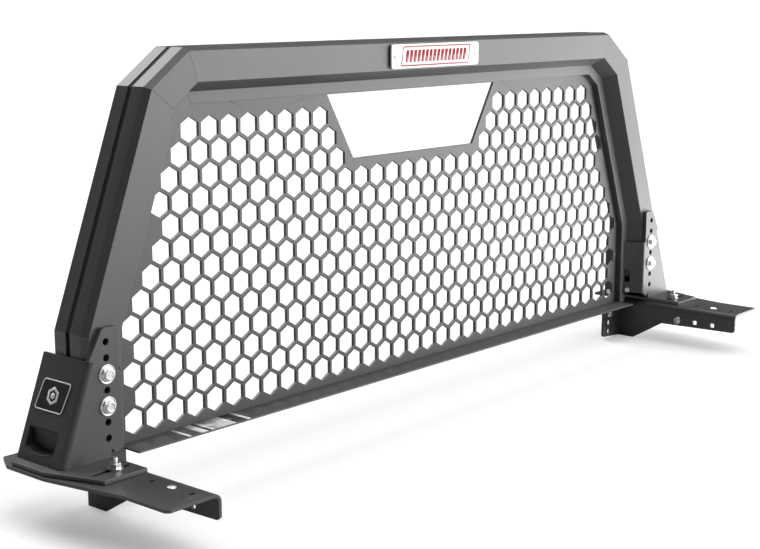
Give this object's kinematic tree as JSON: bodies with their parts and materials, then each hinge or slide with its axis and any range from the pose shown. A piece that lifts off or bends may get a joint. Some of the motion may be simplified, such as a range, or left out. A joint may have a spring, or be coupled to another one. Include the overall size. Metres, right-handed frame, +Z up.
{
  "type": "headache rack",
  "caption": "Cab protector for a pickup bed: an extruded hoop around a perforated panel with a window, on feet that adjust in height and brackets that adjust in width.",
  "frame": {"origin": "middle of the four open bed rail holes, on the plane where the rail brackets rest", "axes": "+X to the right along the crown, +Y from the panel's front face to the rack's back, +Z up"},
  "size_m": [1.834, 0.38, 0.7179],
  "materials": {
    "charcoal_coat": "matte",
    "black_rubber": "matte",
    "black_plastic": "satin",
    "zinc_steel": "satin",
    "name_plate_paint": "gloss"
  },
  "bodies": {
    "hoop": {"crown_rail": "charcoal_coat", "mesh_panel": "charcoal_coat", "bottom_rail": "charcoal_coat", "crown_slot_trim": "black_rubber", "panel_screws": "zinc_steel", "name_plate": "name_plate_paint", "name_plate_backing": "black_plastic", "name_plate_screws": "zinc_steel", "right_corner_rail": "charcoal_coat", "left_corner_rail": "charcoal_coat", "right_leg_rail": "charcoal_coat", "left_leg_rail": "charcoal_coat", "right_lower_post": "charcoal_coat", "left_lower_post": "charcoal_coat", "right_corner_slot_trim": "black_rubber", "left_corner_slot_trim": "black_rubber", "right_leg_slot_trim": "black_rubber", "left_leg_slot_trim": "black_rubber"},
    "left_foot": {"left_foot_bracket": "charcoal_coat", "left_tie_down_cup": "black_plastic", "left_badge": "black_plastic", "left_foot_base": "charcoal_coat", "left_height_bolts": "zinc_steel", "left_height_washers": "zinc_steel", "left_nut_bar": "zinc_steel", "left_wall_bolts": "zinc_steel"},
    "left_bed_bracket": {"left_bed_rail_bracket": "charcoal_coat", "left_width_stud": "zinc_steel", "left_width_washer": "zinc_steel", "left_width_nut": "zinc_steel", "left_rail_bolt": "zinc_steel", "left_rail_nut": "zinc_steel", "left_clamp_bolts": "zinc_steel", "left_clamp_nuts": "zinc_steel"},
    "right_foot": {"right_foot_bracket": "charcoal_coat", "right_tie_down_cup": "black_plastic", "right_badge": "black_plastic", "right_foot_base": "charcoal_coat", "right_height_bolts": "zinc_steel", "right_height_washers": "zinc_steel", "right_nut_bar": "zinc_steel", "right_wall_bolts": "zinc_steel"},
    "right_bed_bracket": {"right_bed_rail_bracket": "charcoal_coat", "right_width_stud": "zinc_steel", "right_width_washer": "zinc_steel", "right_width_nut": "zinc_steel", "right_rail_bolt": "zinc_steel", "right_rail_nut": "zinc_steel", "right_clamp_bolts": "zinc_steel", "right_clamp_nuts": "zinc_steel"}
  },
  "joints": [
    {"name": "left_foot_height", "type": "slide", "parent": "hoop", "child": "left_foot", "axis": [0, 0, 1], "range_m": [-0.0508, 0.0508]},
    {"name": "right_foot_height", "type": "slide", "parent": "hoop", "child": "right_foot", "axis": [0, 0, 1], "range_m": [-0.0508, 0.0508]},
    {"name": "left_bracket_width", "type": "slide", "parent": "left_foot", "child": "left_bed_bracket", "axis": [-1, 0, 0], "range_m": [-0.02, 0.038]},
    {"name": "right_bracket_width", "type": "slide", "parent": "right_foot", "child": "right_bed_bracket", "axis": [1, 0, 0], "range_m": [-0.02, 0.038]}
  ],
  "couplings": [
    {"joint": "right_foot_height", "follows": "left_foot_height", "ratio": 1}
  ]
}
